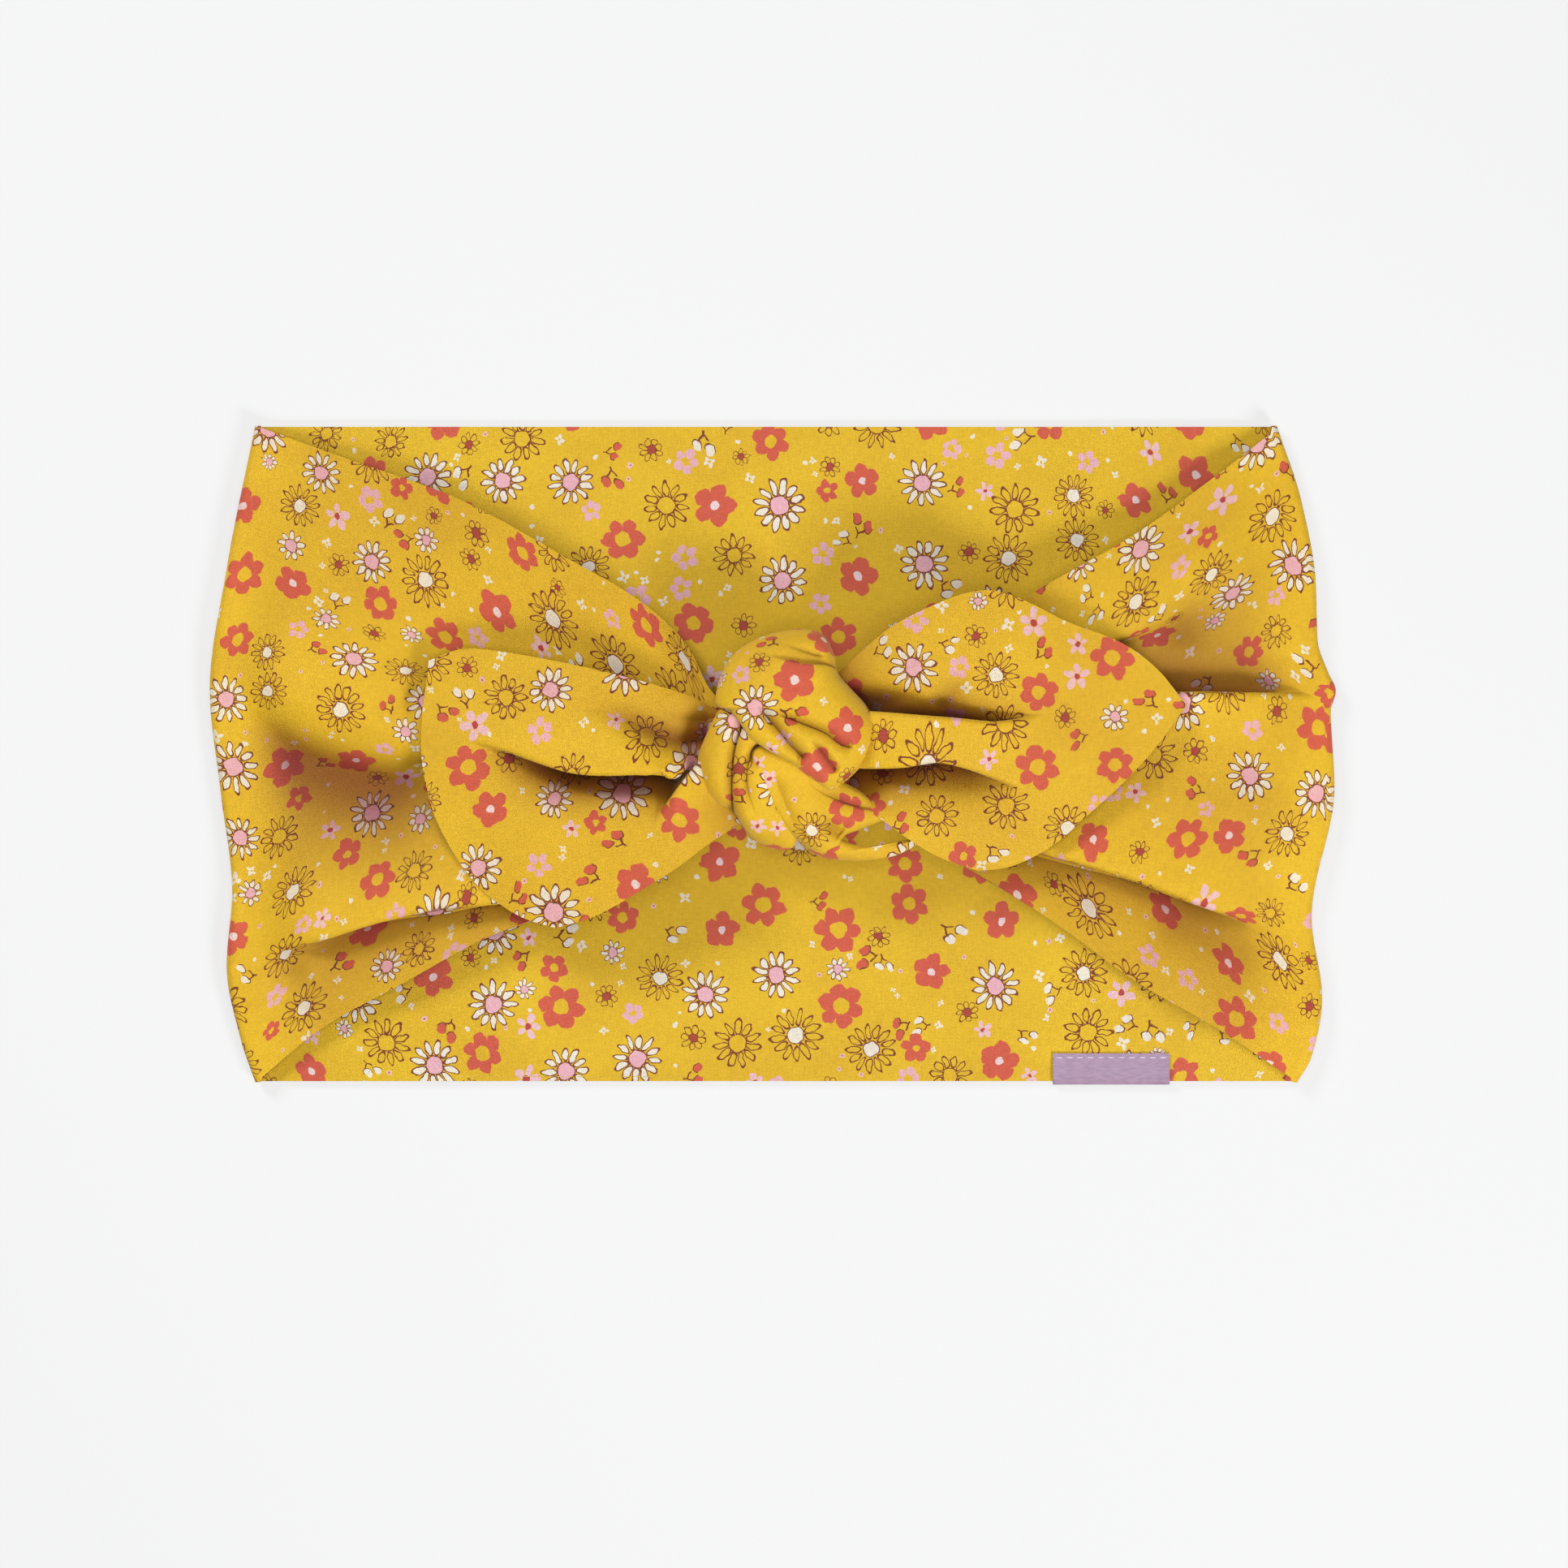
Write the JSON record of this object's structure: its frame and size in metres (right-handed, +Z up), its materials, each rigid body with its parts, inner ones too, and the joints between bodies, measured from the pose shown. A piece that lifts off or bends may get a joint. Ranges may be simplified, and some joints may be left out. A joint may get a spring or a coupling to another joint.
{
  "type": "knotted headband",
  "caption": "Wide self-lined cloth headband, a loop gathered at the front under a knotted tie with two leaf-shaped tails; lies flat and opens into a ring.",
  "frame": {"origin": "under the middle of the flat headband, on the surface that it lies on", "axes": "+X along the flat band, +Y across its width towards the upper edge, +Z up out of the surface, towards the knot"},
  "size_m": [0.2472, 0.1446, 0.0256],
  "materials": {
    "print_cloth": "fine woven viscose printed with small flowers, matt with a slight sheen",
    "lining_cloth": "the same printed viscose as the lining, a little flatter",
    "tie_cloth": "fine woven printed viscose, folded and creased",
    "tie_backing": "fine woven printed viscose, underside of the tie",
    "seam_thread": "fine polyester sewing thread, yellow",
    "label_ribbon": "soft lilac satin ribbon, plain",
    "label_thread": "fine pale lilac sewing thread"
  },
  "bodies": {
    "back_centre": {"back_centre_outer": "print_cloth", "back_centre_lining": "lining_cloth"},
    "back_left": {"back_left_outer": "print_cloth", "back_left_lining": "lining_cloth", "closing_stitches": "seam_thread"},
    "back_right": {"back_right_outer": "print_cloth", "back_right_lining": "lining_cloth", "label": "label_ribbon", "label_stitches": "label_thread"},
    "wing_left": {"wing_left_outer": "print_cloth", "wing_left_lining": "lining_cloth"},
    "wing_right": {"wing_right_outer": "print_cloth", "wing_right_lining": "lining_cloth"},
    "knot": {"gathered_neck": "print_cloth", "neck_stitches": "seam_thread", "knot_upper_wrap": "tie_cloth", "knot_lower_wrap": "tie_cloth", "knot_crossing_strand": "tie_cloth"},
    "tail_left": {"tail_left_face": "tie_cloth", "tail_left_backing": "tie_backing"},
    "tail_right": {"tail_right_face": "tie_cloth", "tail_right_backing": "tie_backing"}
  },
  "joints": [
    {"name": "loop_open", "type": "hinge", "parent": "back_centre", "child": "back_left", "pos_m": [-0.015, 0, 0.00055], "axis": [0, 1, 0], "range_deg": [0, 50]},
    {"name": "back_right_bend", "type": "hinge", "parent": "back_centre", "child": "back_right", "pos_m": [0.015, 0, 0.00055], "axis": [0, -1, 0], "range_deg": [0, 50]},
    {"name": "fold_left", "type": "hinge", "parent": "back_left", "child": "wing_left", "pos_m": [-0.1197, 0, 0.0039], "axis": [0, 1, 0], "range_deg": [-100, 0]},
    {"name": "fold_right", "type": "hinge", "parent": "back_right", "child": "wing_right", "pos_m": [0.1197, 0, 0.0039], "axis": [0, -1, 0], "range_deg": [-100, 0]},
    {"name": "knot_level", "type": "hinge", "parent": "wing_left", "child": "knot", "pos_m": [-0.015, 0, 0.00725], "axis": [0, 1, 0], "range_deg": [0, 50]},
    {"name": "tail_left_lift", "type": "hinge", "parent": "knot", "child": "tail_left", "pos_m": [-0.0175, 0, 0.0126], "axis": [0, 1, 0], "range_deg": [0, 90]},
    {"name": "tail_right_lift", "type": "hinge", "parent": "knot", "child": "tail_right", "pos_m": [0.023, 0, 0.0126], "axis": [0, -1, 0], "range_deg": [0, 90]}
  ],
  "couplings": [
    {"joint": "back_right_bend", "follows": "loop_open", "ratio": 1},
    {"joint": "fold_left", "follows": "loop_open", "ratio": -2},
    {"joint": "fold_right", "follows": "loop_open", "ratio": -2},
    {"joint": "knot_level", "follows": "loop_open", "ratio": 1}
  ]
}
